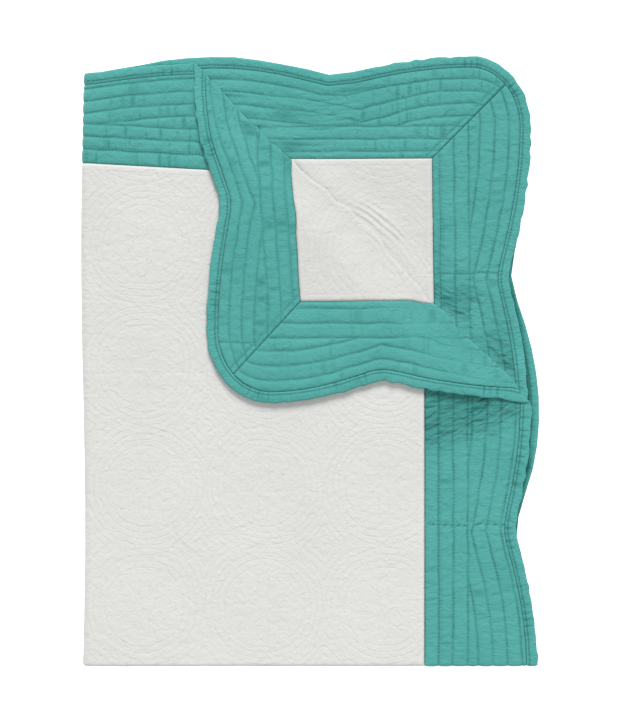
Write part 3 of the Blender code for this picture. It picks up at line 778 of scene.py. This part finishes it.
def dashes(add, along):  # stitches along a line, and a fainter gap after each
    wave = add("Math", (add("Math", (along, 2 * pi / stitchLook["length"]), **times),), operation="SINE")
    return add("MapRange", (wave, *stitchLook["gap"]))


def sewnLine(add, phase, pitch, width):  # 1 on the lines where phase is a whole number
    whole = add("Math", (phase,), operation="ROUND")
    off = add("Math", (add("Math", (add("Math", (phase, whole), **minus),), **unsigned), pitch), **times)
    return add("MapRange", (off, width * 0.4, width, 1.0, 0.0), **soft)


def drawBorderLines(add, read, uv):
    straight, arc, pitch = read["straight"], read["arc"], borderLook["lineSpacing"]
    inside = add("MapRange", (straight, 2.0, 2.06, 1.0, 0.0), **soft)
    outside = add("Math", (1.0, inside), **minus)
    one = add("Math", (sewnLine(add, straight, pitch, stitchLook["borderWidth"]), inside), **times)
    fromTwin = add("Math", (add("Math", (straight, borderLook["twin"]), **minus),), **unsigned)
    twin = add("Math", (add("MapRange", (fromTwin, 0.02, 0.07, 1.0, 0.0), **soft), 0.6), **times)
    pastBinding = add("MapRange", (add("Math", (arc, -1.0), **times), 0.3, 0.4, 1.0, 0.0), **soft)
    arcs = add("Math", (sewnLine(add, arc, pitch, stitchLook["borderWidth"]),
                        add("Math", (outside, pastBinding), **times)), **times)
    sewn = add("MapRange", (read["beside"], *stitchLook["besideMitre"], 1.0, 0.0), **soft)
    for line in (one, twin, arcs):
        sewn = add("Math", (sewn, line), **larger)

    worn = add("TexNoise", {"Vector": uv, "Scale": 1 / (stitchLook["fadedPatch"] * mm), "Detail": 1.0},
               output="Fac")
    calm = add("Math", (1.0, add("Math", (read["calm"], stitchLook["calmShare"]), **times)), **minus)
    for share in (add("MapRange", (worn, *stitchLook["faded"])), calm):
        sewn = add("Math", (sewn, share), **times)
    fromFirst = add("Math", (straight,), **unsigned)
    first = add("Math", (add("MapRange", (fromFirst, 0.03, 0.09, 1.0, 0.0), **soft),
                         add("Math", (1.0, read["backing"]), **minus)), **times)
    sewn = add("Math", (add("Math", (sewn, first), **larger), dashes(add, read["along"])), **times)
    cross = add("MapRange", (read["cross"], *stitchLook["cross"], 1.0, 0.0), **soft)
    return add("Math", (sewn, add("Math", (cross, stitchLook["crossStrength"]), **times)), **larger)


def drawBindingLines(add, read, uv):
    off = add("Math", (add("Math", (read["across"], bindingLook["stitchedAt"]), **minus),), **unsigned)
    stitched = add("MapRange", (off, *stitchLook["narrow"], 1.0, 0.0), **soft)
    return add("Math", (stitched, dashes(add, read["along"])), **times)


def drawPanelLines(add, read, uv):
    p = panelLook
    echo = add("Math", (add("Math", (read["ring"], p["ring"]), **minus), p["echoPitch"]), operation="DIVIDE")
    inside = add("MapRange", (read["ring"], p["ring"] - 4, p["ring"] - 3.5, 1.0, 0.0), **soft)
    outside = add("Math", (1.0, inside), **minus)
    rings = add("Math", (sewnLine(add, echo, p["echoPitch"], stitchLook["panelWidth"]), outside), **times)
    fromPetal = add("Math", (read["petal"],), **unsigned)
    petals = add("MapRange", (fromPetal, *stitchLook["petal"], 1.0, 0.0), **soft)
    petals = add("Math", (petals, inside), **times)
    rim = add("MapRange", (read["fromSeam"], p["topstitch"], p["topstitch"] + 0.5, 1.0, 0.0), **soft)
    sewn = add("Math", (add("Math", (rings, petals), **larger), add("Math", (1.0, rim), **minus)), **times)
    fromTop = add("Math", (add("Math", (read["fromSeam"], p["topstitch"]), **minus),), **unsigned)
    sewn = add("Math", (sewn, add("MapRange", (fromTop, *stitchLook["narrow"], 1.0, 0.0), **soft)), **larger)
    broken = add("TexNoise", {"Vector": uv, "Scale": 1 / (stitchLook["brokenPatch"] * mm), "Detail": 1.0},
                 output="Fac")
    return add("Math", (sewn, add("Math", (broken, 1.6), **times)), **times)


def borderPuckers(add, read, uv):  # square to the sewn lines, and slanting where the cloth is bunched
    look = puckerLook
    row = add("Math", (read["straight"], add("Math", (read["arc"], 0.5), **times)), **plus)
    place = add("CombineXYZ", (add("Math", (read["along"], 1 / look["length"]), **times),
                               add("Math", (row, 2.0), **times)))
    fine = add("TexNoise", {"Vector": place, "Scale": 1.0, "Detail": 2.0, "Roughness": 0.45}, output="Fac")
    slant = add("Mapping", {"Vector": uv, "Rotation": (0, 0, look["slant"]), "Scale": look["slantSize"]},
                vector_type="TEXTURE")
    wrinkle = add("TexNoise", {"Vector": slant, "Scale": 1.0, "Detail": 1.5, "Distortion": 0.5}, output="Fac")
    wrinkle = add("Math", (add("Math", (wrinkle, read["bunch"]), **times), look["slantStrength"]), **times)
    share = add("Math", (1.0, add("Math", (read["bunch"], look["bunchShare"]), **times)), **plus)
    share = add("Math", (share, add("Math", (read["calm"], look["calmShare"]), **times)), **minus)
    return add("Math", (add("Math", (fine, share), **times), wrinkle), **plus)


def bindingPuckers(add, read, uv):
    place = add("CombineXYZ", (add("Math", (read["along"], 1 / puckerLook["bindingLength"]), **times),
                               add("Math", (read["across"], 1 / puckerLook["bindingWidth"]), **times)))
    return add("TexNoise", {"Vector": place, "Scale": 1.0, "Detail": 1.0}, output="Fac")


def panelPuckers(add, read, uv):  # all over, and ripples that run along the turned corner's crease
    look = puckerLook
    fine = add("TexNoise", {"Vector": uv, "Scale": 1 / (look["lawnSize"] * mm), "Detail": 1.5,
                            "Distortion": 0.6}, output="Fac")
    stray = add("TexNoise", {"Vector": uv, "Scale": 1 / (look["rippleSize"] * mm), "Detail": 1.0},
                output="Fac")
    turn = add("Math", (read["ripple"], 2 * pi / look["ripplePitch"]), **times)
    turn = add("Math", (turn, add("Math", (stray, look["rippleStray"]), **times)), **plus)
    ripple = add("Math", (add("Math", (turn,), operation="SINE"), read["rippleShare"]), **times)
    return add("Math", (fine, add("Math", (ripple, look["rippleStrength"]), **times)), **plus)


# Dyed plain-woven cotton: matte, a faint bloom of loose fibres, with painted shade along the sewn lines'
# grooves.
# Its threads are about 0.4 mm apart, too fine to show, so they are drawn 1.5 mm apart
tealCotton = {
    "deep": "#459993", "pale": "#57A9A3", "line": "#1F6B66", "fadeSize": 60 * mm,
    "fields": ("near", "backing", "straight", "arc", "along", "cross", "beside", "calm", "bunch", "pucker",
               "inGap"),
    "shades": {"inGap": 0.85, "pucker": 0.3, "bunch": 0.5}, "lineStrength": 0.5, "lineHeight": 0.3,
    "grooveWidth": 2.9, "paintedGrooveShade": 0.24, "grooveHeight": 0.2,
    "crumpleSize": 9 * mm, "crumpleHeight": 1.5,
    "thread": 1.5 * mm, "weaveHeight": 0.1, "slubSize": 1.7 * mm, "slubHeight": 0.42, "puckerHeight": 0.9,
    "roughness": 0.85, "sheen": 0.12,
}
# The same cotton cut into the binding's narrow strip
bindingCotton = {
    **tealCotton, "fields": ("near", "along", "across", "pucker", "inGap"),
    "shades": {"inGap": 0.85, "pucker": 0.3},
}
# White cotton lawn: matte and bright, with finer threads, drawn 1.3 mm apart; its back face is drawn a little
# greyer
whiteCotton = {
    "deep": "#D1D1CE", "pale": "#DADAD7", "line": "#B4B4AE", "fadeSize": 80 * mm,
    "fields": ("near", "backing", "ring", "petal", "fromSeam", "ripple", "rippleShare"),
    "shades": {"backing": 0.22}, "lineStrength": 0.08, "lineHeight": 0.1,
    "grooveWidth": 1.6, "paintedGrooveShade": 0.04, "grooveHeight": 0.05,
    "crumpleSize": 9 * mm, "crumpleHeight": 0.75,
    "thread": 1.3 * mm, "weaveHeight": 0.07, "slubSize": 3 * mm, "slubHeight": 0.38, "puckerHeight": 0.42,
    "roughness": 0.9, "sheen": 0.08,
}

teal = cottonMaterial("teal_plain_woven_cotton", tealCotton, drawBorderLines, borderPuckers)
tealBinding = cottonMaterial("teal_bias_cut_cotton", bindingCotton, drawBindingLines, bindingPuckers)
white = cottonMaterial("white_cotton_lawn", whiteCotton, drawPanelLines, panelPuckers)
print("materials made")


def finishPiece(piece, node, material):
    piece.data.materials.append(material)
    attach(piece, "root")
    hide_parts(node)


finishPiece(makePanel(), "centre_panel", white)
for node, side in borders.items():
    strip = makeBorder(node, "quilt_" + node)
    finishPiece(strip, node, teal)
binding, bindingLength = makeBinding()
finishPiece(binding, "binding", tealBinding)
print("pieces made")

# Studio: a pale floor, one broad soft light above the head of the quilt and a gentle fill
studio = {
    "floorSize": 40.0, "floorGap": 0.0002, "floorColour": "#FBFBFA",
    "cameraHeight": 2.008, "lens": 100.0, "aim": (0.0062, 0.0012),
    "keyPlace": (0.4, 9.6, 6.3), "keySize": 4.4, "keyPower": 1310.0,
    "fillPlace": (0.3, -1.5, 2.0), "fillSize": 1.2, "fillPower": 17.0,
    "skyStrength": 0.41, "floorGlow": 0.7,
}
bpy.ops.object.select_all(action="DESELECT")
bpy.ops.mesh.primitive_plane_add(size=studio["floorSize"], location=(0, 0, floorZ - studio["floorGap"]))
floor = bpy.context.object
floor.name = "floor"
paper = bpy.data.materials.new("pale_paper")
paper.use_nodes = True
paperLook = {"Base Color": linear(studio["floorColour"]), "Roughness": 0.95,
             "Emission Color": (1, 1, 1, 1), "Emission Strength": studio["floorGlow"]}
for key, value in paperLook.items():
    paper.node_tree.nodes["Principled BSDF"].inputs[key].default_value = value
floor.data.materials.append(paper)

world = bpy.data.worlds.new("studio")
world.use_nodes = True
world.node_tree.nodes["Background"].inputs[0].default_value = (1, 1, 1, 1)
world.node_tree.nodes["Background"].inputs[1].default_value = studio["skyStrength"]
bpy.context.scene.world = world

for name in ("key", "fill"):
    lamp = bpy.data.lights.new(name, "AREA")
    lamp.size = studio[name + "Size"]
    lamp.energy = studio[name + "Power"]
    light = bpy.data.objects.new(name, lamp)
    light.location = studio[name + "Place"]
    light.rotation_euler = (-Vector(studio[name + "Place"])).to_track_quat("-Z", "Y").to_euler()
    bpy.context.scene.collection.objects.link(light)

lensData = bpy.data.cameras.new("camera")
lensData.lens = studio["lens"]
lensData.sensor_width = 36.0
camera = bpy.data.objects.new("camera", lensData)
camera.location = (studio["aim"][0], studio["aim"][1], studio["cameraHeight"])
bpy.context.scene.collection.objects.link(camera)
bpy.context.scene.camera = camera
bpy.context.scene.view_settings.view_transform = "Standard"
bpy.context.scene.view_settings.look = "None"
print("studio set")
